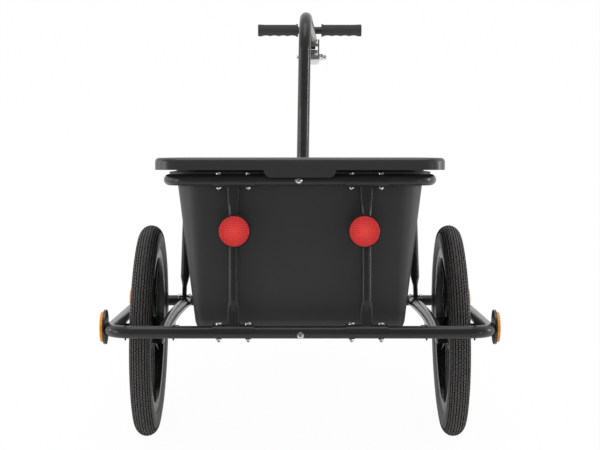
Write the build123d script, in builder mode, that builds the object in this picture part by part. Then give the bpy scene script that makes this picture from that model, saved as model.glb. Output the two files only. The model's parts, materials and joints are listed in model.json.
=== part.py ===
from build123d import *
import os
from math import asin, atan2, cos, degrees, hypot, radians, sin, tan

# Two-wheeled bicycle trailer with a lidded plastic tub and a swan-neck drawbar.
# The trailer is laid out level: X to its right, Y forward, Z up, the ground at Z = 0 and the
# wheel axle over X = Y = 0. As a last step it is parked: it pitches nose down about its axle
# until the drawbar's low bend rests on the ground.

# Wheels
wheel_radius = 200.5
wheel_to_bar = 45.0
wheel_to_rail = 45.5
wheel_camber = 0.75
tyre_width = 41.0
bead_radius = 152.5
bead_width = 27.0
flange_radius = 158.5
flange_wall = 2.5
rim_depth = 15.0
spoke_count = 5
spoke_width = 34.0
spoke_thickness = 15.0
hub_radius = 26.0
hub_width = 56.0
hub_end_radius = 12.0
running_fit = 0.06
hub_side_gap = 0.6

# Axles and their plates
axle_radius = 6.0
axle_nut_flats = 19.0
axle_nut_height = 8.0
axle_nut_gap = 0.25
axle_stub = 3.0
plate_thickness = 5.0
plate_width = 44.0
plate_below_axle = 16.0
axle_drop = 29.0
outer_plate_inset = 0.5
axle_chamfer = 1.0

# Lower frame: an outer loop of two halves, and two inner rails
frame_tube = 11.0
frame_wall = 1.5
frame_half_length = 290.0
side_bar = 333.0
loop_corner = 44.0
rail_bow = 7.0
weld_gap = 0.1
seam_place = 10.8
spigot_length = 34.0
slip_fit = 0.1

# Upper ring that carries the tub
ring_height = 492.7
ring_tube = 10.0
ring_wall = 1.5
ring_half_width = 229.8
ring_corner = 50.0

# Stays between the lower frame and the ring
stay_place = 115.0
stay_tube = 9.0
stay_foot_width = 22.0
stay_foot_depth = 9.0
stay_foot_height = 22.0
stay_foot_taper = 20.0
stay_head_height = 12.0
stay_head_taper = 34.0
saddle_width = 72.0
saddle_wall = 2.5
side_stay_place = 216.0
side_saddle_width = 44.0

# Tub
tub_wall = 3.5
tub_draft = 7.3
tub_bottom = 212.0
tub_corner = 50.0
tub_bottom_fillet = 38.0
tub_ring_gap = 1.4
tub_flange_thickness = 4.0
tub_lip_height = 21.0

# Lid
lid_wall = 3.5
lid_side_overhang = 22.7
lid_end_overhang = 24.0
lid_skirt = 21.0
lid_corner = 45.0
lid_edge = 7.0
tongue_width = 124.0
tongue_depth = 13.0
tongue_corner = 12.0

# Drawbar
drawbar_tube = 14.0
drawbar_wall = 2.0
drawbar_under = 192.0
drawbar_tail = 60.0
dip_start = 350.0
dip_angle = 15.0
dip_radius = 160.0
riser_place = 570.0
low_bend = 100.0
top_bend = 75.0
neck_height = 857.5
neck_fall = 11.5
neck_end = 1210.0
riser_sway = 12.0
neck_sway = 33.0

# Cradle and clamp that hold the drawbar
cradle_place = 100.0
cradle_length = 32.0
cradle_width = 96.0
cradle_thickness = 4.0
hoop_wall = 3.0
clamp_width = 60.0
clamp_length = 44.0
clamp_floor = 4.0
clamp_corner = 5.0

# Handle
handle_setback = 60.0
handle_x = 26.0
handle_tube = 9.75
handle_wall = 1.6
handle_sink = 2.0
handle_length = 270.0
grip_length = 107.0
grip_radius = 14.8
grip_collar_radius = 17.3
grip_collar_width = 5.0
grip_cap = 3.0
finger_count = 4
finger_radius = 24.0
finger_depth = 2.2

# Hitch at the end of the drawbar
ear_thickness = 4.0
ear_side_gap = 1.0
ear_width = 34.0
ear_rise = 1.0
hitch_bolt_drop = 46.0
hitch_bolt_radius = 5.0
hitch_nut_flats = 17.0
hitch_nut_height = 9.0
hitch_cap_radius = 7.0
hitch_cap_round = 3.0
hitch_bolt_right = 38.5
hitch_bolt_left = 41.5
yoke_side_gap = 0.6
yoke_boss_radius = 20.0
yoke_height = 22.0
tow_bore_radius = 6.5
tow_bore_forward = 34.0
tow_eye_radius = 15.0

# Round reflectors
red_height = 405.0
red_rim_radius = 28.5
red_lens_radius = 26.15
red_right_inset = 4.0
red_left_inset = 1.8
red_base_depth = 11.0
lens_depth = 3.0
amber_rear_place = 230.0
amber_front_place = 245.0
amber_rise = 2.5
amber_standoff = 8.7
amber_radius = 30.5
amber_lens_radius = 26.75
amber_base_depth = 4.5
amber_lens_depth = 5.5
lens_edge = 1.5

pieces = []


def keep(piece, label):
    """Name a finished piece and keep it for parking."""
    piece.part.label = label
    pieces.append(piece.part)


def keep_pair(piece, label):
    """Keep a right-hand piece and its mirror image on the left."""
    keep(piece, label + "_right")
    with BuildPart() as twin:
        mirror(piece.part, about=Plane.YZ)
    keep(twin, label + "_left")


# ---------------------------------------------------------------- lower frame

frame_height = wheel_radius + axle_drop
wheel_centre = side_bar - wheel_to_bar
rail_place = wheel_centre - wheel_to_rail


def half_loop(side, height, half_width, tube, wall, corner):
    """One half of a closed loop of tube; the right half carries the spigots of both seams."""
    with BuildPart() as half:
        with BuildLine(Plane.XY.offset(height)) as route:
            FilletPolyline(
                (seam_place, -frame_half_length),
                (side * half_width, -frame_half_length),
                (side * half_width, frame_half_length),
                (seam_place, frame_half_length),
                radius=corner,
            )
        with BuildSketch(Plane(origin=route.line @ 0, z_dir=route.line % 0)):
            Circle(tube)
            Circle(tube - wall, mode=Mode.SUBTRACT)
        sweep(path=route.wire())
        if side > 0:
            with Locations(
                (seam_place, -frame_half_length, height),
                (seam_place, frame_half_length, height),
            ):
                Cylinder(tube - wall, spigot_length, rotation=(0, 90, 0))
            with Locations(
                (seam_place - spigot_length / 2, -frame_half_length, height),
                (seam_place - spigot_length / 2, frame_half_length, height),
            ):
                Cylinder(tube, spigot_length, rotation=(0, 90, 0), mode=Mode.SUBTRACT)
                Cylinder(tube - wall - slip_fit, spigot_length, rotation=(0, 90, 0))
    return half


keep(half_loop(1, frame_height, side_bar, frame_tube, frame_wall, loop_corner), "lower_loop_right")
keep(half_loop(-1, frame_height, side_bar, frame_tube, frame_wall, loop_corner), "lower_loop_left")
keep(half_loop(1, ring_height, ring_half_width, ring_tube, ring_wall, ring_corner), "upper_ring_right")
keep(half_loop(-1, ring_height, ring_half_width, ring_tube, ring_wall, ring_corner), "upper_ring_left")

# An inner rail bows outwards between the loop's cross bars and is coped to both of them.
rail_radius = (frame_half_length**2 + rail_bow**2) / (2 * rail_bow)
rail_end_place = rail_place - rail_bow
with BuildLine(Plane.XY.offset(frame_height)) as rail_route:
    ThreePointArc(
        (rail_end_place, -frame_half_length),
        (rail_place, 0),
        (rail_end_place, frame_half_length),
    )


def rail_sweep(inner_radius):
    """An inner rail's tube, or its solid outline when the inner radius is zero."""
    with BuildPart() as tube:
        with BuildSketch(Plane(origin=rail_route.line @ 0, z_dir=rail_route.line % 0)):
            Circle(frame_tube)
            if inner_radius > 0:
                Circle(inner_radius, mode=Mode.SUBTRACT)
        sweep(path=rail_route.wire())
    return tube


rail_outline = rail_sweep(0)
with BuildPart() as inner_rail:
    add(rail_sweep(frame_tube - frame_wall).part)
    for bar_end in (-frame_half_length, frame_half_length):
        with Locations((0, bar_end, frame_height)):
            Cylinder(frame_tube + weld_gap, 2 * side_bar, rotation=(0, 90, 0), mode=Mode.SUBTRACT)
keep_pair(inner_rail, "inner_rail")

# ---------------------------------------------------------------- axles

inner_plate_face = rail_place - plate_thickness / 2
outer_plate_face = side_bar + frame_tube - plate_thickness - outer_plate_inset

# The wheel's plane: it leans in at the top by the camber, so its axle rises outwards.
lean = radians(wheel_camber)
wheel_plane = Plane(
    origin=(wheel_centre, 0, wheel_radius),
    x_dir=(0, 1, 0),
    z_dir=(cos(lean), 0, sin(lean)),
)
inner_plate_back = inner_plate_face + plate_thickness - wheel_centre
outer_plate_front = outer_plate_face - wheel_centre
axle_start = inner_plate_face - wheel_centre - axle_nut_gap - axle_nut_height - axle_stub
axle_end = outer_plate_front + plate_thickness + axle_nut_gap + axle_nut_height + axle_stub

with BuildPart() as axle_rod:
    with BuildSketch(wheel_plane.offset(axle_start)):
        Circle(axle_radius)
    extrude(amount=axle_end - axle_start)
    chamfer(axle_rod.edges().filter_by(GeomType.CIRCLE), axle_chamfer)


with BuildPart() as side_bar_outline:
    with Locations((side_bar, 0, frame_height)):
        Cylinder(frame_tube, 2 * plate_width, rotation=(90, 0, 0))


def axle_plate(face, bar):
    """A plate with a rounded foot that hangs from a bar and carries one end of an axle."""
    with BuildPart() as plate:
        with BuildSketch(Plane.YZ.offset(face)):
            with BuildLine():
                foot = wheel_radius - plate_below_axle
                Polyline((-plate_width / 2, frame_height), (-plate_below_axle, wheel_radius))
                ThreePointArc((-plate_below_axle, wheel_radius), (0, foot), (plate_below_axle, wheel_radius))
                Polyline(
                    (plate_below_axle, wheel_radius),
                    (plate_width / 2, frame_height),
                    (-plate_width / 2, frame_height),
                )
            make_face()
        extrude(amount=plate_thickness)
        add(axle_rod.part, mode=Mode.SUBTRACT)
        add(bar.part, mode=Mode.SUBTRACT)
    return plate


keep_pair(axle_plate(inner_plate_face, rail_outline), "inner_axle_plate")
keep_pair(axle_plate(outer_plate_face, side_bar_outline), "outer_axle_plate")

with BuildPart() as axle:
    add(axle_rod.part)
    for nut_start in (axle_start + axle_stub, axle_end - axle_stub - axle_nut_height):
        with BuildSketch(wheel_plane.offset(nut_start)):
            RegularPolygon(axle_nut_flats / 2, 6, major_radius=False)
        extrude(amount=axle_nut_height)
keep_pair(axle, "axle")

# ---------------------------------------------------------------- wheels

hub_span_start = inner_plate_back + hub_side_gap
hub_span_end = outer_plate_front - hub_side_gap
rim_half = bead_width / 2 + flange_wall
rim_inside = bead_radius - rim_depth
axle_line = Axis(wheel_plane.origin, wheel_plane.z_dir)
section_plane = Plane(
    origin=wheel_plane.origin,
    x_dir=wheel_plane.z_dir,
    z_dir=(0, -1, 0),
)

# The wheel is one moulding: a rim, flat spokes and a hub that turns on the axle.
with BuildPart() as wheel:
    with BuildSketch(section_plane):
        with BuildLine():
            Polyline(
                (-rim_half, flange_radius),
                (-rim_half, rim_inside),
                (rim_half, rim_inside),
                (rim_half, flange_radius),
                (bead_width / 2, flange_radius),
                (bead_width / 2, bead_radius),
                (-bead_width / 2, bead_radius),
                (-bead_width / 2, flange_radius),
                (-rim_half, flange_radius),
            )
        make_face()
    revolve(axis=axle_line)
    with BuildSketch(wheel_plane.offset(-spoke_thickness / 2)):
        for turn in range(spoke_count):
            with Locations(Location((0, 0, 0), (0, 0, turn * 360 / spoke_count - 90))):
                Rectangle(rim_inside + rim_depth / 2, spoke_width, align=(Align.MIN, Align.CENTER))
    extrude(amount=spoke_thickness)
    with BuildSketch(wheel_plane.offset(-hub_width / 2)):
        Circle(hub_radius)
    extrude(amount=hub_width)
    with BuildSketch(wheel_plane.offset(hub_span_start)):
        Circle(hub_end_radius)
    extrude(amount=hub_span_end - hub_span_start)
    with BuildSketch(wheel_plane.offset(hub_span_start)):
        Circle(axle_radius + running_fit)
    extrude(amount=hub_span_end - hub_span_start, mode=Mode.SUBTRACT)
keep_pair(wheel, "wheel")

# The tyre is a ring with a round crown, seated between the rim's flanges.
with BuildPart() as tyre:
    with BuildSketch(section_plane):
        with BuildLine():
            shoulder = wheel_radius - tyre_width / 2
            seat = bead_width / 2
            Polyline((-seat, flange_radius), (-seat, bead_radius), (seat, bead_radius), (seat, flange_radius))
            Line((seat, flange_radius), (rim_half, flange_radius))
            Spline((rim_half, flange_radius), (tyre_width / 2, shoulder), tangents=((0.6, 1), (0, 1)))
            ThreePointArc((tyre_width / 2, shoulder), (0, wheel_radius), (-tyre_width / 2, shoulder))
            Spline((-tyre_width / 2, shoulder), (-rim_half, flange_radius), tangents=((0, -1), (0.6, -1)))
            Line((-rim_half, flange_radius), (-seat, flange_radius))
        make_face()
    revolve(axis=axle_line)
keep_pair(tyre, "tyre")

# ---------------------------------------------------------------- stays

def stay(foot, head, foot_along, head_along, foot_width):
    """An upright between two bars, with a half-pipe saddle welded to each flattened end."""
    rise = Vector(head) - Vector(foot)
    base = Plane(origin=foot, x_dir=head_along, z_dir=rise.normalized())
    low_end = frame_tube + saddle_wall
    high_end = rise.length - ring_tube - saddle_wall
    with BuildPart() as upright:
        for start, way, flat, taper in (
            (low_end, 1, stay_foot_height, stay_foot_taper),
            (high_end, -1, stay_head_height, stay_head_taper),
        ):
            with BuildSketch(base.offset(start - way * saddle_wall / 2)):
                SlotOverall(stay_foot_width, stay_foot_depth)
            extrude(amount=way * (flat + saddle_wall / 2))
            with BuildSketch(base.offset(start + way * flat)):
                SlotOverall(stay_foot_width, stay_foot_depth)
            with BuildSketch(base.offset(start + way * (flat + taper))):
                Circle(stay_tube)
            loft()
        round_start = low_end + stay_foot_height + stay_foot_taper
        round_end = high_end - stay_head_height - stay_head_taper
        with BuildSketch(base.offset(round_start)):
            Circle(stay_tube)
        extrude(amount=round_end - round_start)
        for middle, along, bar, side in (
            (foot, foot_along, frame_tube, Align.MAX),
            (head, head_along, ring_tube, Align.MIN),
        ):
            across = base.z_dir.cross(Vector(along))
            with BuildSketch(Plane(origin=middle, x_dir=across, z_dir=along)):
                Circle(bar + saddle_wall)
                Circle(bar, mode=Mode.SUBTRACT)
                Rectangle(
                    4 * (bar + saddle_wall),
                    2 * (bar + saddle_wall),
                    align=(Align.CENTER, side),
                    mode=Mode.SUBTRACT,
                )
            extrude(amount=foot_width / 2, both=True)
    return upright


# The rear and front stays stand on the cross bars; the side stays lean in from rail to ring.
for end_name, place in (("rear", -frame_half_length), ("front", frame_half_length)):
    end_stay = stay(
        (stay_place, place, frame_height),
        (stay_place, place, ring_height),
        (1, 0, 0),
        (1, 0, 0),
        saddle_width,
    )
    keep_pair(end_stay, end_name + "_stay")
rail_turn = asin(side_stay_place / rail_radius)
side_stay = stay(
    (rail_place - rail_radius * (1 - cos(rail_turn)), side_stay_place, frame_height),
    (ring_half_width, side_stay_place, ring_height),
    (-sin(rail_turn), cos(rail_turn), 0),
    (0, 1, 0),
    side_saddle_width,
)
keep_pair(side_stay, "side_stay")

# ---------------------------------------------------------------- tub and lid

flange_bottom = ring_height + ring_tube
flange_top = flange_bottom + tub_flange_thickness
lid_seat = flange_bottom + tub_lip_height + tub_flange_thickness
tub_half_width = ring_half_width - ring_tube - tub_ring_gap
tub_half_length = frame_half_length - ring_tube - tub_ring_gap


def tub_block(inset, bottom, bottom_fillet):
    """The tapered block of the tub's outside, or of its inside when inset by the wall."""
    with BuildPart() as block:
        with BuildSketch(Plane.XY.offset(flange_bottom)):
            RectangleRounded(
                2 * (tub_half_width - inset),
                2 * (tub_half_length - inset),
                tub_corner - inset,
            )
        extrude(amount=bottom - flange_bottom, taper=tub_draft)
        fillet(block.faces().sort_by(Axis.Z)[0].edges(), bottom_fillet)
        with BuildSketch(Plane.XY.offset(flange_bottom)):
            RectangleRounded(
                2 * (tub_half_width - inset),
                2 * (tub_half_length - inset),
                tub_corner - inset,
            )
        extrude(amount=lid_seat - flange_bottom)
    return block


tub_outside = tub_block(0, tub_bottom, tub_bottom_fillet)
tub_inside = tub_block(tub_wall, tub_bottom + tub_wall, tub_bottom_fillet - tub_wall)
with BuildPart() as tub:
    add(tub_outside.part)
    with BuildSketch(Plane.XY.offset(flange_bottom)):
        RectangleRounded(
            2 * (ring_half_width),
            2 * (frame_half_length),
            ring_corner,
        )
    extrude(amount=tub_flange_thickness)
    add(tub_inside.part, mode=Mode.SUBTRACT)
keep(tub, "tub")

lid_top = lid_seat + lid_wall
lid_half_width = ring_half_width + lid_side_overhang
lid_half_length = frame_half_length + lid_end_overhang
with BuildPart() as lid:
    with BuildSketch(Plane.XY.offset(lid_top)):
        RectangleRounded(2 * lid_half_width, 2 * lid_half_length, lid_corner)
    extrude(amount=-lid_skirt)
    fillet(lid.faces().sort_by(Axis.Z)[-1].edges(), lid_edge)
    with BuildSketch(Plane.XY.offset(lid_seat)):
        RectangleRounded(
            2 * (lid_half_width - lid_wall),
            2 * (lid_half_length - lid_wall),
            lid_corner - lid_wall,
        )
    extrude(amount=-lid_skirt, mode=Mode.SUBTRACT)
    for end in (-1, 1):
        with BuildSketch(Plane.XZ.offset(end * lid_half_length)):
            with Locations((0, lid_top - lid_skirt)):
                Rectangle(tongue_width, lid_wall, align=(Align.CENTER, Align.MIN))
                Rectangle(tongue_width, tongue_depth, align=(Align.CENTER, Align.MAX))
        extrude(amount=-end * lid_wall)
    fillet(lid.edges().filter_by(Axis.Y).group_by(Axis.Z)[0], tongue_corner)
keep(lid, "lid")

# ---------------------------------------------------------------- drawbar

neck_end_height = neck_height - neck_fall
low_corner_height = drawbar_under - (riser_place - dip_start) * tan(radians(dip_angle))
with BuildLine() as drawbar_route:
    FilletPolyline(
        (0, drawbar_tail, drawbar_under),
        (0, dip_start, drawbar_under),
        (0, riser_place, low_corner_height),
        (riser_sway, riser_place, neck_height),
        (neck_sway, neck_end, neck_end_height),
        radius=(dip_radius, low_bend, top_bend),
    )


def drawbar_sweep(inner_radius):
    """The drawbar's tube, or its solid outline when the inner radius is zero."""
    with BuildPart() as tube:
        with BuildSketch(Plane(origin=drawbar_route.line @ 0, z_dir=drawbar_route.line % 0)):
            Circle(drawbar_tube)
            if inner_radius > 0:
                Circle(inner_radius, mode=Mode.SUBTRACT)
        sweep(path=drawbar_route.wire())
    return tube


drawbar_outline = drawbar_sweep(0)
keep(drawbar_sweep(drawbar_tube - drawbar_wall), "drawbar")

# The cradle is a plate bolted under the tub's floor, with a hoop around the drawbar's tail.
with BuildPart() as cradle:
    with BuildSketch(Plane.XZ.offset(-cradle_place)):
        with Locations((0, tub_bottom)):
            Rectangle(cradle_width, cradle_thickness, align=(Align.CENTER, Align.MAX))
        with Locations((0, drawbar_under)):
            Circle(drawbar_tube + hoop_wall)
            Rectangle(
                2 * (drawbar_tube + hoop_wall),
                tub_bottom - drawbar_under,
                align=(Align.CENTER, Align.MIN),
            )
            Circle(drawbar_tube, mode=Mode.SUBTRACT)
    extrude(amount=cradle_length / 2, both=True)
keep(cradle, "drawbar_cradle")

# The clamp is a block between the front cross bar and the drawbar, closed around the drawbar.
clamp_bottom = drawbar_under - drawbar_tube - clamp_floor
with BuildPart() as clamp:
    with BuildSketch(Plane.XY.offset(clamp_bottom)):
        with Locations((0, frame_half_length)):
            RectangleRounded(clamp_width, clamp_length, clamp_corner)
    extrude(amount=frame_height - clamp_bottom)
    with Locations((0, frame_half_length, frame_height)):
        Cylinder(frame_tube, 2 * clamp_width, rotation=(0, 90, 0), mode=Mode.SUBTRACT)
    with Locations((0, frame_half_length, drawbar_under)):
        Cylinder(drawbar_tube, 2 * clamp_length, rotation=(90, 0, 0), mode=Mode.SUBTRACT)
keep(clamp, "drawbar_clamp")

# ---------------------------------------------------------------- handle

handle_place = neck_end - handle_setback
neck_share = (handle_place - riser_place) / (neck_end - riser_place)
neck_axis_height = neck_height + (neck_end_height - neck_height) * neck_share
handle_height = neck_axis_height + drawbar_tube + handle_tube - handle_sink

with BuildPart() as handle_bar:
    with BuildSketch(Plane.YZ.offset(handle_x - handle_length / 2)):
        with Locations((handle_place, handle_height)):
            Circle(handle_tube)
            Circle(handle_tube - handle_wall, mode=Mode.SUBTRACT)
    extrude(amount=handle_length)
    add(drawbar_outline.part, mode=Mode.SUBTRACT)
keep(handle_bar, "handle_bar")


def grip(side):
    """A hand grip pushed over one end of the bar, scalloped underneath for the fingers."""
    end = handle_x + side * (handle_length / 2 + grip_cap)
    start = end - side * grip_length
    with BuildPart() as sleeve:
        with BuildSketch(Plane.YZ.offset(start)):
            with Locations((handle_place, handle_height)):
                Circle(grip_radius)
        extrude(amount=side * grip_length)
        finger_pitch = (grip_length - grip_collar_width) / finger_count
        for finger in range(finger_count):
            place = start + side * (grip_collar_width + (finger + 0.5) * finger_pitch)
            with Locations((place, handle_place, handle_height - grip_radius - finger_radius + finger_depth)):
                Cylinder(finger_radius, 4 * grip_radius, rotation=(90, 0, 0), mode=Mode.SUBTRACT)
        with BuildSketch(Plane.YZ.offset(start)):
            with Locations((handle_place, handle_height)):
                Circle(grip_collar_radius)
        extrude(amount=side * grip_collar_width)
        with BuildSketch(Plane.YZ.offset(start)):
            with Locations((handle_place, handle_height)):
                Circle(handle_tube)
        extrude(amount=side * (grip_length - grip_cap), mode=Mode.SUBTRACT)
    return sleeve


keep(grip(1), "grip_right")
keep(grip(-1), "grip_left")

# ---------------------------------------------------------------- hitch

hitch_place = neck_end - ear_width / 2
ear_inner = drawbar_tube + ear_side_gap
yoke_half_width = ear_inner - yoke_side_gap
ear_top = neck_end_height + ear_rise
hitch_bolt_height = neck_end_height - hitch_bolt_drop

# Two ears hang below the end of the drawbar from a bridge welded under it.
with BuildPart() as hitch_ears:
    for side in (-1, 1):
        with BuildSketch(Plane.YZ.offset(neck_sway + side * ear_inner)):
            with BuildLine():
                Polyline(
                    (hitch_place - ear_width / 2, hitch_bolt_height),
                    (hitch_place - ear_width / 2, ear_top),
                    (hitch_place + ear_width / 2, ear_top),
                    (hitch_place + ear_width / 2, hitch_bolt_height),
                )
                ThreePointArc(
                    (hitch_place + ear_width / 2, hitch_bolt_height),
                    (hitch_place, hitch_bolt_height - ear_width / 2),
                    (hitch_place - ear_width / 2, hitch_bolt_height),
                )
            make_face()
            with Locations((hitch_place, hitch_bolt_height)):
                Circle(hitch_bolt_radius, mode=Mode.SUBTRACT)
        extrude(amount=side * ear_thickness)
    bridge_bottom = neck_end_height - drawbar_tube - ear_thickness
    with Locations((neck_sway, hitch_place, bridge_bottom)):
        Box(2 * ear_inner, ear_width, 2 * ear_thickness, align=(Align.CENTER, Align.CENTER, Align.MIN))
    add(drawbar_outline.part, mode=Mode.SUBTRACT)
keep(hitch_ears, "hitch_ears")

# The cross bolt has a capped nut on the right and a stud that stands out on the left.
with BuildPart() as hitch_bolt:
    with BuildSketch(Plane.YZ.offset(neck_sway - hitch_bolt_left)):
        with Locations((hitch_place, hitch_bolt_height)):
            Circle(hitch_bolt_radius)
    extrude(amount=hitch_bolt_left + hitch_bolt_right)
    ear_outer = ear_inner + ear_thickness
    for nut_start in (neck_sway + ear_outer, neck_sway - ear_outer - hitch_nut_height):
        with BuildSketch(Plane.YZ.offset(nut_start)):
            with Locations((hitch_place, hitch_bolt_height)):
                RegularPolygon(hitch_nut_flats / 2, 6, major_radius=False)
        extrude(amount=hitch_nut_height)
    with BuildSketch(Plane.YZ.offset(neck_sway + ear_outer)):
        with Locations((hitch_place, hitch_bolt_height)):
            Circle(hitch_cap_radius)
    extrude(amount=hitch_bolt_right - ear_outer)
    fillet(hitch_bolt.faces().sort_by(Axis.X)[-1].edges(), hitch_cap_round)
keep(hitch_bolt, "hitch_bolt")

# The yoke swings on the bolt and ends in an eye for the bicycle's tow pin.
with BuildPart() as hitch_yoke:
    with BuildSketch(Plane.YZ.offset(neck_sway - yoke_half_width)):
        with Locations((hitch_place, hitch_bolt_height)):
            Circle(yoke_boss_radius)
            Rectangle(tow_bore_forward, yoke_height, align=(Align.MIN, Align.CENTER))
            Circle(hitch_bolt_radius + running_fit, mode=Mode.SUBTRACT)
    extrude(amount=2 * yoke_half_width)
    with BuildSketch(Plane.XY.offset(hitch_bolt_height - yoke_height / 2)):
        with Locations((neck_sway, hitch_place + tow_bore_forward)):
            Circle(tow_eye_radius)
    extrude(amount=yoke_height)
    with BuildSketch(Plane.XY.offset(hitch_bolt_height - yoke_height / 2)):
        with Locations((neck_sway, hitch_place + tow_bore_forward)):
            Circle(tow_bore_radius)
    extrude(amount=yoke_height, mode=Mode.SUBTRACT)
keep(hitch_yoke, "hitch_yoke")

# ---------------------------------------------------------------- reflectors

# Each red reflector is clamped to its stay by hand, a little inboard of the stay's middle.
for name, side, inset in (("right", 1, red_right_inset), ("left", -1, red_left_inset)):
    red_place = side * (stay_place - inset)
    with BuildPart() as red_base:
        with BuildSketch(Plane.XZ.offset(frame_half_length)):
            with Locations((red_place, red_height)):
                Circle(red_rim_radius)
        extrude(amount=stay_tube + red_base_depth)
        with Locations((side * stay_place, -frame_half_length, red_height)):
            Cylinder(stay_tube, 3 * red_rim_radius, mode=Mode.SUBTRACT)
    keep(red_base, "red_reflector_base_" + name)
    with BuildPart() as red_lens:
        with BuildSketch(Plane.XZ.offset(frame_half_length + stay_tube + red_base_depth)):
            with Locations((red_place, red_height)):
                Circle(red_lens_radius)
        extrude(amount=lens_depth)
        fillet(red_lens.faces().sort_by(Axis.Y)[0].edges(), lens_edge)
    keep(red_lens, "red_reflector_lens_" + name)

amber_height = frame_height + amber_rise
amber_back = side_bar + amber_standoff
for end_name, place in (("rear", -amber_rear_place), ("front", amber_front_place)):
    with BuildPart() as amber_base:
        with BuildSketch(Plane.YZ.offset(amber_back)):
            with Locations((place, amber_height)):
                Circle(amber_radius)
        extrude(amount=amber_base_depth)
        with Locations((side_bar, place, frame_height)):
            Cylinder(frame_tube, 3 * amber_radius, rotation=(90, 0, 0), mode=Mode.SUBTRACT)
    keep_pair(amber_base, end_name + "_amber_base")
    with BuildPart() as amber_lens:
        with BuildSketch(Plane.YZ.offset(amber_back + amber_base_depth)):
            with Locations((place, amber_height)):
                Circle(amber_lens_radius)
        extrude(amount=amber_lens_depth)
        fillet(amber_lens.faces().sort_by(Axis.X)[-1].edges(), lens_edge)
    keep_pair(amber_lens, end_name + "_amber_lens")

# ---------------------------------------------------------------- parking

# The drawbar's low bend is an arc about this centre; parked, it touches the ground.
bend_y = riser_place - low_bend
bend_z = low_corner_height + low_bend * (tan(radians(dip_angle)) + 1 / cos(radians(dip_angle)))
bend_outside = low_bend + drawbar_tube
bend_drop = wheel_radius - bend_z
bend_reach = hypot(bend_y, bend_drop)
park_angle = degrees(asin((wheel_radius - bend_outside) / bend_reach) - atan2(bend_drop, bend_y))

pitched = Pos(0, 0, wheel_radius) * Rot(-park_angle, 0, 0) * Pos(0, 0, -wheel_radius)
outline = Compound(children=[piece.moved(pitched) for piece in pieces]).bounding_box()
parked = Pos(0, -(outline.min.Y + outline.max.Y) / 2, 0) * pitched

if __name__ == "__main__":
    os.makedirs("parts", exist_ok=True)
    for piece in pieces:
        export_step(piece.moved(parked), f"parts/{piece.label}.step")
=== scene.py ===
import bpy
import json
from math import asin, atan2, cos, pi, sin, sqrt
from mathutils import Matrix, Vector


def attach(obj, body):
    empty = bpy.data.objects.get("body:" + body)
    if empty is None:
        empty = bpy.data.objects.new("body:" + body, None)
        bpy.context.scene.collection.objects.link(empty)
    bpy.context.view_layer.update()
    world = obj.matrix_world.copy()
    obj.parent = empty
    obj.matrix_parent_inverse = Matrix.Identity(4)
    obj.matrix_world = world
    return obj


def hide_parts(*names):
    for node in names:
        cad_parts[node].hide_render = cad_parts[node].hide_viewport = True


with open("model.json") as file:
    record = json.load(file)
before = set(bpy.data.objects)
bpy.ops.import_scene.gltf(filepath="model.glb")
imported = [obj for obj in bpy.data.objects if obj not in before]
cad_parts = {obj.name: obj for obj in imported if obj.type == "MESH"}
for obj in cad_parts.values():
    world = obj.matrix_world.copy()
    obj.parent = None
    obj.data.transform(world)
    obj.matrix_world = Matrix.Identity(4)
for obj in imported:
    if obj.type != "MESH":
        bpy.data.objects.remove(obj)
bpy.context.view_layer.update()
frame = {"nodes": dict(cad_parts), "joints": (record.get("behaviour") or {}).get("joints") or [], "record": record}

nodes = frame["nodes"]
joints = {joint["name"]: joint for joint in frame["joints"]}

# ============================================================================ how it stands
# The trailer is drawn level, in metres, and then parked: it pitches nose down about its axle
# until the drawbar's low bend rests on the floor. A new piece is made level and parked the same way.
level_up = Vector(joints["lid_lift"]["axis"])
park_angle = asin(level_up.y)
axle_point = Vector((0, *joints["wheel_right_spin"]["pos_m"][1:]))
parked = (
    Matrix.Translation(axle_point)
    @ Matrix.Rotation(-park_angle, 4, "X")
    @ Matrix.Translation((0, 0, -axle_point.z))
)
levelled = parked.inverted()

# ============================================================================ lower frame and ring
# Bent steel tube, 22 mm below and 20 mm in the ring that carries the tub, each loop made of two
# halves joined by spigots, in black enamel with a soft and slightly uneven sheen.


class Strand:
    """A value that runs between a material's nodes, for sums that read as sums."""

    def __init__(self, look, socket):
        self.look = look
        self.socket = socket

    def math(self, operation, *values):
        return self.look.node("Math", {"operation": operation}, dict(enumerate(values)))

    def __add__(self, other):
        return self.math("ADD", self, other)

    __radd__ = __add__

    def __sub__(self, other):
        return self.math("SUBTRACT", self, other)

    def __rsub__(self, other):
        return self.math("SUBTRACT", other, self)

    def __mul__(self, other):
        return self.math("MULTIPLY", self, other)

    __rmul__ = __mul__

    def __truediv__(self, other):
        return self.math("DIVIDE", self, other)

    def __pow__(self, other):
        return self.math("POWER", self, other)

    def sine(self):
        return self.math("SINE", self)

    def size(self):
        return self.math("ABSOLUTE", self)


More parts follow.
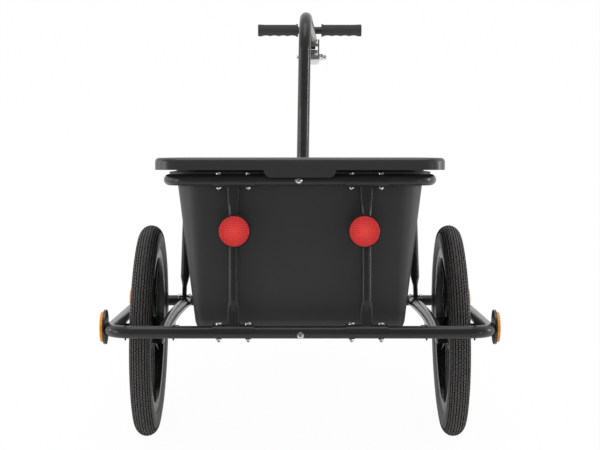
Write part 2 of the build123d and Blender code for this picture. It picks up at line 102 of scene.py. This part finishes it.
class Look:
    """One finish: a material, its nodes and the fixed settings of its shader."""

    def __init__(self, name, **fixed):
        self.material = bpy.data.materials.new(name)
        self.material.use_nodes = True
        self.surface = self.material.node_tree.nodes["Principled BSDF"]
        for setting, value in fixed.items():
            self.surface.inputs[setting.replace("_", " ")].default_value = value
        self.place = self.node("TexCoord", output="Object")

    def node(self, kind, settings=None, values=None, output=0):
        made = self.material.node_tree.nodes.new("ShaderNode" + kind)
        for name, value in (settings or {}).items():
            if name == "stops":
                ramp = made.color_ramp
                ramp.elements[0].position, ramp.elements[0].color = value[0]
                ramp.elements[1].position, ramp.elements[1].color = value[1]
                for position, color in value[2:]:
                    ramp.elements.new(position).color = color
            else:
                setattr(made, name, value)
        for name, value in (values or {}).items():
            if isinstance(value, Strand):
                self.material.node_tree.links.new(value.socket, made.inputs[name])
            else:
                made.inputs[name].default_value = value
        return Strand(self, made.outputs[output])

    def level_place(self):
        """Where a point lies on the trailer before it was parked."""
        values = {"Vector": self.place, "Location": levelled.translation, "Rotation": levelled.to_euler()}
        return self.node("Mapping", {}, values)

    def noise(self, scale, detail=2.0, place=None):
        return self.node("TexNoise", {}, {"Vector": place or self.place, "Scale": scale, "Detail": detail})

    def between(self, factor, first, second):
        return self.node("Mix", {"data_type": "RGBA"}, {0: factor, 6: (*first, 1), 7: (*second, 1)}, output=2)

    def feed(self, setting, strand):
        self.material.node_tree.links.new(strand.socket, self.surface.inputs[setting])

    def bump(self, height, depth):
        self.feed("Normal", self.node("Bump", {}, {"Height": height, "Distance": depth, "Strength": 1.0}))


def dress(piece, look):
    """Give a piece one finish."""
    piece.data.materials.clear()
    piece.data.materials.append(look.material)


def dress_slot(slot, look):
    """Give every built piece of one material slot the same finish."""
    for entry in frame["record"]["subparts"]:
        if entry["material_slot"] == slot:
            dress(nodes[entry["node"]], look)


enamel = Look("frame_enamel", Coat_Roughness=0.05, Specular_IOR_Level=0.25)
flow = enamel.noise(9, 3)
enamel.feed("Base Color", enamel.between(flow, (0.016, 0.016, 0.0165), (0.025, 0.025, 0.026)))
enamel.feed("Roughness", 0.24 + 0.1 * enamel.noise(60))
enamel.feed("Coat Weight", 0.08 + 0.14 * flow)
enamel.bump(enamel.noise(420), 0.00006)
dress_slot("frame", enamel)


# ============================================================================ zinc hardware
# Bright zinc-plated steel: the axles with their nuts, and the bolts that hold the stays' saddles
# to the bars. Each bolt is a hexagon head, a washer, a shank and a nut on the other side.
zinc = Look("bright_zinc", Metallic=1.0)
cloud = zinc.noise(55, 3)
zinc.feed("Base Color", zinc.between(cloud, (0.55, 0.55, 0.56), (0.82, 0.82, 0.83)))
zinc.feed("Roughness", 0.16 + 0.18 * cloud)
zinc.bump(zinc.noise(900), 0.00004)
dress_slot("zinc", zinc)


def work_on(piece):
    """Leave one piece selected and active."""
    bpy.ops.object.select_all(action="DESELECT")
    piece.select_set(True)
    bpy.context.view_layer.objects.active = piece


def fix_in_place(piece, matrix):
    """Put a piece where the matrix says, with its place in its mesh and its faces outwards."""
    work_on(piece)
    piece.matrix_world = matrix @ piece.matrix_world
    bpy.ops.object.transform_apply(location=True, rotation=True, scale=True)
    if matrix.is_negative:
        bpy.ops.object.mode_set(mode="EDIT")
        bpy.ops.mesh.select_all(action="SELECT")
        bpy.ops.mesh.flip_normals()
        bpy.ops.object.mode_set(mode="OBJECT")


def another(piece, name):
    """A copy of a piece with a mesh of its own."""
    twin = piece.copy()
    twin.data = piece.data.copy()
    twin.name = name
    bpy.context.scene.collection.objects.link(twin)
    return twin


def joined(pieces, name):
    """Join pieces into the first."""
    bpy.ops.object.select_all(action="DESELECT")
    for piece in pieces:
        piece.select_set(True)
    bpy.context.view_layer.objects.active = pieces[0]
    bpy.ops.object.join()
    pieces[0].name = name
    return pieces[0]


def finished(piece, modifier, **settings):
    """Add a modifier, set it and apply it."""
    work_on(piece)
    added = piece.modifiers.new(modifier.lower(), modifier)
    for name, value in settings.items():
        setattr(added, name, value)
    bpy.ops.object.modifier_apply(modifier=added.name)


def turned(name, outline, steps):
    """Draw an outline point by point, as places along and away from the X axis, and spin it."""
    bpy.ops.object.select_all(action="DESELECT")
    bpy.ops.mesh.primitive_plane_add(size=0.001)
    piece = bpy.context.object
    piece.name = name
    bpy.ops.object.mode_set(mode="EDIT")
    bpy.ops.mesh.select_mode(type="VERT")
    bpy.ops.mesh.select_all(action="SELECT")
    bpy.ops.mesh.merge(type="CENTER")
    bpy.ops.transform.translate(value=Vector(outline[0]))
    for here, there in zip(outline, outline[1:]):
        bpy.ops.mesh.extrude_region_move(TRANSFORM_OT_translate={"value": Vector(there) - Vector(here)})
    bpy.ops.mesh.select_all(action="SELECT")
    bpy.ops.mesh.spin(steps=steps, angle=2 * pi, center=(0, 0, 0), axis=(1, 0, 0))
    bpy.ops.mesh.select_all(action="SELECT")
    bpy.ops.mesh.remove_doubles(threshold=0.000005)
    bpy.ops.mesh.normals_make_consistent(inside=False)
    bpy.ops.object.mode_set(mode="OBJECT")
    return piece


def hexagon(name, flats, height):
    """A hexagon of a nut or a bolt head, standing on X = 0, with its corners eased."""
    corner_round = 0.0006
    bpy.ops.object.select_all(action="DESELECT")
    bpy.ops.mesh.primitive_cylinder_add(
        vertices=6, radius=flats / sqrt(3), depth=height, location=(height / 2, 0, 0), rotation=(0, pi / 2, 0)
    )
    piece = bpy.context.object
    piece.name = name
    bpy.ops.object.transform_apply(location=True, rotation=True, scale=True)
    finished(piece, "BEVEL", width=corner_round, segments=2, limit_method="ANGLE")
    return piece


washer = 0.0012


def bolt(name, grip, flats, head, shank, tail):
    """A bolt through a thickness called its grip, from its head at X = 0 to its nut and thread."""
    rim, end, thread_ease, nut_height = flats * 0.62, -grip - tail, 0.0008, head * 1.15
    parts = [
        hexagon(name, flats, head),
        turned("washer", [(0, 0, shank), (0, 0, rim), (-washer, 0, rim), (-washer, 0, shank)], 24),
        turned(
            "shank",
            [(-washer, 0, 0), (-washer, 0, shank), (end + thread_ease, 0, shank),
             (end, 0, shank - thread_ease), (end, 0, 0)],
            20,
        ),
        hexagon("nut", flats, nut_height),
    ]
    parts[3].location = (-grip - nut_height - washer, 0, 0)
    for part in parts:
        work_on(part)
        bpy.ops.object.transform_apply(location=True, rotation=True, scale=True)
    return joined(parts, name)


def towards(place, direction):
    """A matrix that carries X = 0 to a place, with X along a direction."""
    return Matrix.Translation(place) @ Vector(direction).to_track_quat("X", "Z").to_matrix().to_4x4()


frame_height, frame_end, bar, ring_height, ring_bar = 0.2295, 0.290, 0.011, 0.4927, 0.010
saddle, stay_place, bolt_spread = 0.0025, 0.115, 0.0255
saddle_bolt_places = [sign * (stay_place + step) for sign in (-1, 1) for step in (-bolt_spread, bolt_spread)]
low_bolt = bolt("saddle_bolt", 2 * bar + saddle, flats=0.010, head=0.0024, shank=0.003, tail=0.0075)
high_bolt = bolt("ring_bolt", 2 * ring_bar + saddle, flats=0.009, head=0.0019, shank=0.003, tail=0.0055)
bolts = []
for end in (-1, 1):
    for index, x in enumerate(saddle_bolt_places):
        for model, top in ((low_bolt, frame_height + bar + saddle), (high_bolt, ring_height + ring_bar)):
            piece = another(model, f"{model.name}_{'rear' if end < 0 else 'front'}_{index}")
            fix_in_place(piece, parked @ towards((x, end * frame_end, top + washer), (0, 0, 1)))
            bolts.append(piece)
for model in (low_bolt, high_bolt):
    bpy.data.objects.remove(model)
saddle_bolts = joined(bolts, "saddle_bolts")
dress(saddle_bolts, zinc)
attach(saddle_bolts, "chassis")

# A transverse bolt pins each side stay's foot, and a domed screw locks each loop's rear seam.
foot_face, foot_place, foot_height = 0.2466, 0.216, 0.2455
foot_bolt = bolt("foot_bolt", 0.016, flats=0.009, head=0.004, shank=0.003, tail=0.004)
pins = []
for side, name in ((1, "right"), (-1, "left")):
    piece = another(foot_bolt, "foot_bolt_" + name)
    fix_in_place(piece, parked @ towards((side * foot_face, foot_place, foot_height), (side, 0, 0)))
    pins.append(piece)
bpy.data.objects.remove(foot_bolt)
screw_sink = 0.0006
for x, height, reach, radius in ((0.0008, 0.2255, bar, 0.0064), (-0.002, ring_height, ring_bar, 0.0068)):
    screw = turned(
        "seam_screw",
        [(-0.004, 0, 0), (-0.004, 0, radius * 0.5), (0, 0, radius), (0.0012, 0, radius),
         (0.0031, 0, radius * 0.82), (0.0043, 0, radius * 0.5), (0.0047, 0, 0)],
        32,
    )
    fix_in_place(screw, parked @ towards((x, -frame_end - reach + screw_sink, height), (0, -1, 0)))
    pins.append(screw)
pin_hardware = joined(pins, "stay_and_seam_hardware")
dress(pin_hardware, zinc)
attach(pin_hardware, "chassis")

# Small blackened screws pass through the cross bars beside the inner rails' ends and at the corners.
black_steel = Look("blackened_steel", Metallic=0.7)
patch = black_steel.noise(120, 3)
black_steel.feed("Base Color", black_steel.between(patch, (0.01, 0.01, 0.01), (0.035, 0.034, 0.032)))
black_steel.feed("Roughness", 0.35 + 0.25 * patch)
rail_screw_radius, rail_screw_end, point = 0.0015, -2 * bar - 0.0032, 0.0006
rail_screw = turned(
    "rail_screw",
    [(0.0014, 0, 0), (0.0012, 0, 0.0018), (0.0004, 0, 0.0026), (-0.0008, 0, 0.0028),
     (-0.0008, 0, rail_screw_radius), (rail_screw_end + point, 0, rail_screw_radius),
     (rail_screw_end, 0, rail_screw_radius - point), (rail_screw_end, 0, 0)],
    16,
)
rail_bolts = []
for x, y in ((0.219, -frame_end), (-0.219, -frame_end), (0.302, -frame_end), (-0.302, -frame_end),
             (0.242, frame_end), (-0.242, frame_end)):
    piece = another(rail_screw, "rail_screw")
    fix_in_place(piece, parked @ towards((x, y, frame_height + bar), (0, 0, 1)))
    rail_bolts.append(piece)
bpy.data.objects.remove(rail_screw)
rail_hardware = joined(rail_bolts, "rail_hardware")
dress(rail_hardware, black_steel)
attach(rail_hardware, "chassis")

# ============================================================================ wheels
# Each wheel is one black moulding that turns on its axle: a rim with rounded lips, five beam spokes
# with raised edges, and a stepped hub. Its rubber tyre has a crown cut into staggered blocks, with painted shade
# on the blocks' walls and cross grooves and a painted highlight along the blocks' top edges. The left wheel
# mirrors the right.
moulding = Look("wheel_moulding", Coat_Weight=0.15, Coat_Roughness=0.04, Specular_IOR_Level=0.3)
swirl = moulding.noise(30, 3)
moulding.feed("Base Color", moulding.between(swirl, (0.004, 0.004, 0.0044), (0.008, 0.008, 0.0084)))
moulding.feed("Roughness", 0.2 + 0.12 * swirl)
moulding.bump(moulding.noise(350), 0.00005)

bead_radius, bead_half, flange_radius, rim_half, rim_inside = 0.1525, 0.0135, 0.1585, 0.016, 0.1375
spoke_half_width, spoke_half_thickness, spoke_rib, spoke_web_depth = 0.017, 0.0075, 0.0035, 0.0035
spoke_count = 5
hub_radius, hub_half = 0.026, 0.028
hub_end_radius, hub_inner_end, hub_outer_end = 0.012, -0.0424, 0.0499
axle_bore = 0.00606


def edit_faces(piece, wanted):
    """Enter edit mode with only the faces that pass a test selected."""
    work_on(piece)
    bpy.ops.object.mode_set(mode="EDIT")
    bpy.ops.mesh.select_mode(type="FACE")
    bpy.ops.mesh.select_all(action="DESELECT")
    bpy.ops.object.mode_set(mode="OBJECT")
    for face in piece.data.polygons:
        face.select = wanted(face)
    bpy.ops.object.mode_set(mode="EDIT")


def wheel_moulding_piece(name):
    """The rim, hub and spokes of one wheel, with its axle along X."""
    lip, ease = 0.0018, 0.0006
    rim_edge = [
        (bead_half, flange_radius), (rim_half - lip, flange_radius),
        (rim_half - ease, flange_radius - ease), (rim_half, flange_radius - lip),
        (rim_half, rim_inside + 0.005), (rim_half - 0.0012, rim_inside + 0.001),
        (rim_half - 0.004, rim_inside),
    ]
    rim_outline = [(-x, 0, radius) for x, radius in rim_edge]
    rim_outline += [(x, 0, radius) for x, radius in reversed(rim_edge)]
    rim_outline += [(bead_half, 0, bead_radius), (-bead_half, 0, bead_radius), rim_outline[0]]
    rim = turned(name, rim_outline, 144)
    shoulder = [
        (hub_half + 0.002, hub_end_radius), (hub_half, hub_end_radius + 0.003),
        (hub_half, hub_radius - 0.004), (hub_half - 0.003, hub_radius),
    ]
    hub_outline = [(hub_inner_end, 0, axle_bore), (hub_inner_end, 0, hub_end_radius)]
    hub_outline += [(-x, 0, radius) for x, radius in shoulder]
    hub_outline += [(x, 0, radius) for x, radius in reversed(shoulder)]
    hub_outline += [(hub_outer_end, 0, hub_end_radius), (hub_outer_end, 0, axle_bore), hub_outline[0]]
    hub = turned("hub", hub_outline, 64)
    bpy.ops.object.select_all(action="DESELECT")
    overlap = 0.003
    spoke_length = rim_inside - hub_radius + 2 * overlap
    bpy.ops.mesh.primitive_cube_add(size=1, location=(0, 0, hub_radius - overlap + spoke_length / 2))
    spoke = bpy.context.object
    spoke.scale = (2 * spoke_half_thickness, 2 * spoke_half_width, spoke_length)
    bpy.ops.object.transform_apply(location=True, rotation=True, scale=True)
    edit_faces(spoke, lambda face: abs(face.normal.x) > 0.9)
    bpy.ops.mesh.inset(thickness=spoke_rib, use_individual=True)
    bpy.ops.mesh.extrude_region_shrink_fatten(TRANSFORM_OT_shrink_fatten={"value": -spoke_web_depth})
    bpy.ops.object.mode_set(mode="OBJECT")
    finished(spoke, "BEVEL", width=0.0009, segments=2, limit_method="ANGLE")
    fix_in_place(spoke, Matrix.Rotation(pi, 4, "X"))
    spokes = [spoke]
    for turn in range(1, spoke_count):
        copy = another(spoke, "spoke")
        fix_in_place(copy, Matrix.Rotation(turn * 2 * pi / spoke_count, 4, "X"))
        spokes.append(copy)
    wheel = joined([rim, hub, *spokes], name)
    work_on(wheel)
    bpy.ops.object.shade_smooth_by_angle(angle=0.6)
    return wheel


def wheel_matrix(joint):
    """Where a wheel stands: X along its axle, Z up its plane."""
    across = Vector(joint["axis"]).normalized()
    forward = level_up.cross(across).normalized()
    up = across.cross(forward)
    turn = Matrix((across, forward, up)).transposed().to_4x4()
    return Matrix.Translation(Vector(joint["pos_m"])) @ turn


tyre_radius, tyre_half, tread_depth = 0.2005, 0.0205, 0.0022
tread_columns, tread_rows, groove_share = 10, 180, 0.05
tread = Look("tyre_tread")
dust = tread.noise(45, 4)
tread.feed("Base Color", tread.between(dust, (0.010, 0.010, 0.010), (0.028, 0.027, 0.0255)))
tread.feed("Roughness", 0.62 + 0.2 * dust)
tread.bump(tread.noise(700), 0.0001)
# Painted shade: the blocks' walls and the grooves between the rows are coloured far darker than the block tops,
# mottled at random.
groove = Look("tread_groove", Specular_IOR_Level=0.2)
groove_shade_mottle = groove.noise(160, 3)
groove.feed("Base Color", groove.between(groove_shade_mottle, (0.002, 0.002, 0.002), (0.008, 0.0078, 0.0075)))
groove.feed("Roughness", 0.8 + 0.15 * groove_shade_mottle)
# Painted highlight: a thin ring round each block top is coloured much lighter, in a scatter of specks, to stand in
# for glints on the edges.
painted_edge_highlight = Look("tread_block_edge")
edge_highlight_scatter = painted_edge_highlight.noise(300, 4)
painted_edge_highlight.feed("Base Color", painted_edge_highlight.between(edge_highlight_scatter, (0.04, 0.04, 0.038), (0.40, 0.39, 0.37)))
painted_edge_highlight.feed("Roughness", 0.4 + 0.3 * edge_highlight_scatter)
sidewall = Look("tyre_sidewall", Specular_IOR_Level=0.35)
haze = sidewall.noise(25, 3)
sidewall.feed("Base Color", sidewall.between(haze, (0.006, 0.006, 0.006), (0.013, 0.013, 0.013)))
sidewall.feed("Roughness", 0.3 + 0.12 * haze)
sidewall.bump(sidewall.noise(260), 0.00008)


def tyre_piece(name):
    """A tyre: a round crown cut into staggered blocks, smooth sidewalls and a bead in the rim."""
    crown = tyre_half
    centre = tyre_radius - crown
    floor_radius = crown - tread_depth
    side = [(rim_half, 0, flange_radius), (rim_half + 0.0025, 0, flange_radius + 0.006),
            (tyre_half - 0.0012, 0, centre - 0.0075), (tyre_half - 0.0002, 0, centre - 0.001)]
    widest = 1.25
    tread_outline = []
    quarter_row = tyre_radius * 2 * pi / tread_rows / 4
    for column in range(tread_columns):
        stagger = quarter_row if column % 2 else -quarter_row
        for edge, slant in ((groove_share, -0.0006), (1 - groove_share, 0.0006)):
            angle = widest * (2 * (column + edge) / tread_columns - 1)
            out = centre + cos(angle) * floor_radius
            tread_outline.append((sin(angle) * floor_radius, stagger + slant, out))
    outline = [(-bead_half + 0.001, 0, bead_radius + 0.001), (-bead_half + 0.0005, 0, flange_radius)]
    outline += [(-x, y, r) for x, y, r in side]
    outline += tread_outline
    outline += side[::-1]
    outline += [(bead_half - 0.0005, 0, flange_radius), (bead_half - 0.001, 0, bead_radius + 0.001)]
    outline.append(outline[0])
    tyre = turned(name, outline, tread_rows)
    for look in (sidewall, groove, painted_edge_highlight, tread):
        tyre.data.materials.append(look.material)

    def in_a_column(face):
        out = sqrt(face.center.y ** 2 + face.center.z ** 2) - centre
        share = (atan2(face.center.x, out) / widest + 1) * tread_columns / 2
        inside = groove_share < share % 1 < 1 - groove_share and 0 < share < tread_columns
        return inside and Vector((face.center.x, out)).length > 0.9 * floor_radius

    edit_faces(tyre, in_a_column)
    # The block walls and cross grooves take the darker finish as painted shade, and a thin ring round each block
    # top takes the painted highlight.
    tyre.active_material_index = 1
    bpy.ops.object.material_slot_assign()
    bpy.ops.mesh.inset(thickness=0.0008, use_individual=True)
    bpy.ops.mesh.extrude_region_shrink_fatten(TRANSFORM_OT_shrink_fatten={"value": tread_depth})
    tyre.active_material_index = 2
    bpy.ops.object.material_slot_assign()
    bpy.ops.mesh.inset(thickness=0.0004, use_individual=True)
    tyre.active_material_index = 3
    bpy.ops.object.material_slot_assign()
    bpy.ops.object.mode_set(mode="OBJECT")
    work_on(tyre)
    bpy.ops.object.shade_smooth_by_angle(angle=0.6)
    return tyre


right_side = Matrix.Identity(4)
left_side = Matrix.Scale(-1, 4, (1, 0, 0))
for side, name in ((right_side, "right"), (left_side, "left")):
    stand = wheel_matrix(joints[f"wheel_{name}_spin"])
    wheel = wheel_moulding_piece("moulded_wheel_" + name)
    dress(wheel, moulding)
    fix_in_place(wheel, stand @ side)
    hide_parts("wheel_" + name)
    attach(wheel, "wheel_" + name)
    tyre = tyre_piece("block_tyre_" + name)
    fix_in_place(tyre, stand @ side)
    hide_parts("tyre_" + name)
    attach(tyre, "wheel_" + name)

# ============================================================================ tub and lid
# A tub moulded in black plastic with drafted walls, a rolled flange that sits on the ring, and a
# clip-on lid with a skirt. The plastic has a fine grain and a soft sheen.
plastic = Look("tub_plastic")
tone = plastic.noise(6, 3)
plastic.feed("Base Color", plastic.between(tone, (0.024, 0.024, 0.0243), (0.032, 0.032, 0.0323)))
plastic.feed("Roughness", 0.42 + 0.12 * plastic.noise(40))
plastic.bump(plastic.noise(1300, 3), 0.00008)
dress(nodes["tub"], plastic)

lid_skin = Look("lid_plastic")
cast = lid_skin.noise(5, 3)
lid_skin.feed("Base Color", lid_skin.between(cast, (0.027, 0.0262, 0.0255), (0.033, 0.032, 0.031)))
lid_skin.feed("Roughness", 0.27 + 0.1 * lid_skin.noise(30))
lid_skin.bump(lid_skin.noise(1100, 3), 0.00004)
dress(nodes["lid"], lid_skin)

# ============================================================================ drawbar and handle
# One bent 28 mm steel tube in satin black, held by a clamp under the front bar and a cradle under
# the tub, with a cross tube through its neck for pushing by hand and a rubber grip on each end.
satin = Look("drawbar_paint", Coat_Roughness=0.03, Specular_IOR_Level=0.3)
drift = satin.noise(12, 3)
satin.feed("Base Color", satin.between(drift, (0.020, 0.0197, 0.019), (0.029, 0.0285, 0.0275)))
satin.feed("Roughness", 0.24 + 0.08 * drift)
satin.feed("Coat Weight", 0.16 + 0.12 * drift)
satin.bump(satin.noise(500), 0.00005)
dress_slot("drawbar", satin)

rubber = Look("grip_rubber")
wear = rubber.noise(70, 4)
rubber.feed("Base Color", rubber.between(wear, (0.019, 0.019, 0.019), (0.034, 0.034, 0.034)))
rubber.feed("Roughness", 0.55 + 0.2 * wear)
rubber.bump(rubber.noise(800), 0.0001)

# A moulded grip: a sleeve with a collar at the inner end and a flared outer end, scooped four times
# underneath for the fingers, with the collar and the outer end eased. The left one mirrors the right.
grip_centre, grip_place, grip_height = 0.026, 1.150, 0.8688
grip_reach, grip_length = 0.138, 0.107
sleeve, collar, flare, tube = 0.0152, 0.0172, 0.0160, 0.00975
collar_end, scoops, scoop_pitch, scoop_radius, scoop_depth = 0.0052, 4, 0.0232, 0.024, 0.0022
for side, name in ((1, "right"), (-1, "left")):
    grip = turned(
        "finger_grip_" + name,
        [(0, 0, tube), (0, 0, collar - 0.001), (0.001, 0, collar), (0.004, 0, collar),
         (collar_end, 0, sleeve), (grip_length - 0.018, 0, sleeve), (grip_length - 0.006, 0, flare),
         (grip_length - 0.0015, 0, flare), (grip_length, 0, flare - 0.0015), (grip_length, 0, 0)],
        48,
    )
    for finger in range(scoops):
        bpy.ops.object.select_all(action="DESELECT")
        bpy.ops.mesh.primitive_cylinder_add(
            vertices=96, radius=scoop_radius, depth=0.08, rotation=(pi / 2, 0, 0),
            location=(collar_end + (finger + 0.5) * scoop_pitch, 0, -sleeve - scoop_radius + scoop_depth),
        )
        scoop = bpy.context.object
        finished(grip, "BOOLEAN", object=scoop, operation="DIFFERENCE", solver="EXACT")
        bpy.data.objects.remove(scoop)
    inner_end = (grip_centre + side * (grip_reach - grip_length), grip_place, grip_height)
    fix_in_place(grip, parked @ Matrix.Translation(inner_end) @ Matrix.Scale(side, 4, (1, 0, 0)))
    bpy.ops.object.shade_smooth_by_angle(angle=0.7)
    dress(grip, rubber)
    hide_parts("grip_" + name)
    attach(grip, "chassis")

# A ribbed rubber buffer sits between the hitch's bridge and the yoke's boss and stops the rattle.
hitch_x, hitch_place, bridge_bottom = 0.033, 1.193, 0.828
buffer = turned(
    "hitch_buffer",
    [(0, 0, 0), (0, 0, 0.0085), (0.0015, 0, 0.0095), (0.003, 0, 0.0078), (0.0045, 0, 0.0095),
     (0.0065, 0, 0.0082), (0.007, 0, 0)],
    32,
)
fix_in_place(buffer, parked @ towards((hitch_x, hitch_place, bridge_bottom), (0, 0, -1)))
bpy.ops.object.shade_smooth_by_angle(angle=0.7)
dress(buffer, rubber)
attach(buffer, "chassis")

# ============================================================================ reflectors
# Round pressed housings with moulded lenses: red ones on the rear stays, amber ones on the side
# bars. The back of each lens is a field of small prisms bumped into its face, and its colour carries a painted
# crosshatch of glints where the prisms would catch light, and a painted glow brighter towards each lens's centre.
housing = Look("reflector_housing", Coat_Weight=0.3)
scuff = housing.noise(80, 3)
housing.feed("Base Color", housing.between(scuff, (0.008, 0.008, 0.008), (0.016, 0.016, 0.016)))
housing.feed("Roughness", 0.25 + 0.2 * scuff)
dress_slot("reflector_base", housing)


def lens_look(name, deep, bright, across, up, middle_across, middle_up):
    """A coloured lens whose prisms run both ways over the face named by its two directions, with a painted
    crosshatch glint and a painted glow at its centre.
    """
    lens = Look(name, Coat_Weight=0.25, Coat_Roughness=0.03, Roughness=0.3, Specular_IOR_Level=0.3)
    values = {0: lens.level_place()}
    axes = {axis: lens.node("SeparateXYZ", {}, values, output=number) for number, axis in enumerate("XYZ")}
    a = axes[across].size() - middle_across
    b = axes[up] - middle_up
    prism_width, diagonal, lens_radius = 0.0042, 0.7071, 0.026
    pitch = 2 * pi / prism_width
    prisms = ((a + b) * pitch * diagonal).sine() * ((a - b) * pitch * diagonal).sine()
    # Painted light: the prisms' crosshatch goes into the colour as painted glints, and a painted glow brightens
    # each lens towards its centre.
    painted_centre_glow = 1 - ((a * a + b * b) ** 0.5) / lens_radius
    painted_glint_and_glow = prisms * 0.42 + 0.18 + painted_centre_glow * 0.6
    lens.feed("Base Color", lens.between(painted_glint_and_glow, deep, bright))
    lens.bump(prisms, 0.0004)
    return lens


red_height, amber_height = 0.405, 0.232
for side, middle in (("right", 0.111), ("left", 0.1132)):
    red = lens_look(side + "_red_lens", (0.45, 0.008, 0.008), (1.0, 0.07, 0.06), "X", "Z", middle, red_height)
    dress(nodes["red_reflector_lens_" + side], red)
deep_amber, bright_amber = (0.80, 0.24, 0.0), (1.0, 0.52, 0.01)
for end, middle in (("rear", 0.230), ("front", 0.245)):
    amber = lens_look(end + "_amber_lens", deep_amber, bright_amber, "Y", "Z", middle, amber_height)
    for side in ("right", "left"):
        dress(nodes[f"{end}_amber_lens_{side}"], amber)

# ============================================================================ studio
# A white floor, a soft overhead light and slim upright lamps at the sides, with the camera behind
# the trailer at about the level of its lid.
camera_back, camera_height = 2.93, 0.536
camera_data = bpy.data.cameras.new("camera")
camera_data.sensor_width = 36
camera_data.lens = 91.6
camera_data.shift_y = -0.1167
camera = bpy.data.objects.new("camera", camera_data)
bpy.context.scene.collection.objects.link(camera)
camera_place = Matrix.Translation((0, -camera_back, camera_height))
camera.matrix_world = parked @ camera_place @ Matrix.Rotation(pi / 2, 4, "X")
bpy.context.scene.camera = camera

bpy.ops.object.select_all(action="DESELECT")
bpy.ops.mesh.primitive_plane_add(size=7, location=(0, 0.9, 0))
floor = bpy.context.object
floor.name = "floor"
fix_in_place(floor, Matrix.Identity(4))
floor_paint = Look("floor_paint", Roughness=0.9)
smudge = floor_paint.noise(3)
floor_paint.feed("Base Color", floor_paint.between(smudge, (0.92, 0.92, 0.92), (0.95, 0.95, 0.95)))
seen_camera = floor_paint.node("LightPath", output="Is Camera Ray")
seen_glossy = floor_paint.node("LightPath", output="Is Glossy Ray")
seen_through = floor_paint.node("LightPath", output="Is Transmission Ray")
far_floor = floor_paint.node("SeparateXYZ", {}, {0: floor_paint.place}, output=1)
sweep = floor_paint.node(
    "MapRange", {"interpolation_type": "SMOOTHSTEP"},
    {"Value": far_floor, "From Min": -0.9, "From Max": 0.5, "To Min": 0.12, "To Max": 0.85},
)
seen = seen_camera * 0.97 + seen_glossy * sweep + seen_through * 0.97
white = floor_paint.node("Emission", {}, {"Color": (1, 1, 1, 1), "Strength": 1.0})
shaded = Strand(floor_paint, floor_paint.surface.outputs[0])
mixed = floor_paint.node("MixShader", {}, {0: seen, 1: shaded, 2: white})
output = floor_paint.material.node_tree.nodes["Material Output"]
floor_paint.material.node_tree.links.new(mixed.socket, output.inputs["Surface"])
dress(floor, floor_paint)

# The room is white wherever the camera looks. In reflections it is white beyond the trailer, where
# the backdrop hangs, and darker behind the camera, and its light on dull surfaces is even.
world = bpy.data.worlds.new("studio")
bpy.context.scene.world = world
world.use_nodes = True
tree = world.node_tree


def room(kind, output=0, settings=None, values=None):
    """Add a node to the room's light and give back its output."""
    made = tree.nodes.new("ShaderNode" + kind)
    for name, value in (settings or {}).items():
        setattr(made, name, value)
    for name, value in (values or {}).items():
        if isinstance(value, bpy.types.NodeSocket):
            tree.links.new(value, made.inputs[name])
        else:
            made.inputs[name].default_value = value
    return made.outputs[output]


direction = room("TexCoord", output="Generated")
depth = room("SeparateXYZ", output="Y", values={0: direction})
backdrop = room(
    "MapRange", settings={"interpolation_type": "SMOOTHSTEP"},
    values={"Value": depth, "From Min": -0.35, "From Max": 0.45, "To Min": 0.16, "To Max": 1.0},
)
glossy = room("LightPath", output="Is Glossy Ray")
camera_ray = room("LightPath", output="Is Camera Ray")
through = room("LightPath", output="Is Transmission Ray")
open_view = room("Math", settings={"operation": "MAXIMUM"}, values={0: camera_ray, 1: through})
dull = room("Mix", values={0: glossy, 2: 0.80, 3: backdrop})
strength = room("Mix", values={0: open_view, 2: dull, 3: 1.0})
tree.nodes["Background"].inputs["Color"].default_value = (1, 1, 1, 1)
tree.links.new(strength, tree.nodes["Background"].inputs["Strength"])


def softbox(name, size, place, aim, power):
    """A rectangular area lamp that faces a point."""
    data = bpy.data.lights.new(name, "AREA")
    data.shape = "RECTANGLE"
    data.size, data.size_y = size
    data.energy = power
    lamp = bpy.data.objects.new(name, data)
    bpy.context.scene.collection.objects.link(lamp)
    lamp.location = place
    lamp.rotation_euler = (Vector(aim) - Vector(place)).to_track_quat("-Z", "Y").to_euler()


softbox("overhead", (2.2, 2.0), (0, -0.2, 3.0), (0, 0, 0.3), 26)
softbox("left_strip", (0.16, 1.1), (-2.5, -1.5, 0.55), (0, 0.2, 0.5), 7)
softbox("right_strip", (0.22, 1.1), (2.9, -0.35, 0.55), (0, 0.2, 0.5), 10)
softbox("right_fill_strip", (0.10, 1.0), (2.2, -2.1, 0.55), (0, 0.2, 0.5), 3)
softbox("left_side", (0.5, 0.7), (-3.0, 0.1, 0.7), (0, 0, 0.4), 7)
softbox("neck_left_strip", (0.07, 0.5), (-2.3, -0.95, 0.72), (0, 1.1, 0.6), 3)
softbox("neck_right_strip", (0.16, 0.5), (2.6, -0.15, 0.72), (0, 1.1, 0.6), 7)

bpy.context.scene.view_settings.view_transform = "Standard"
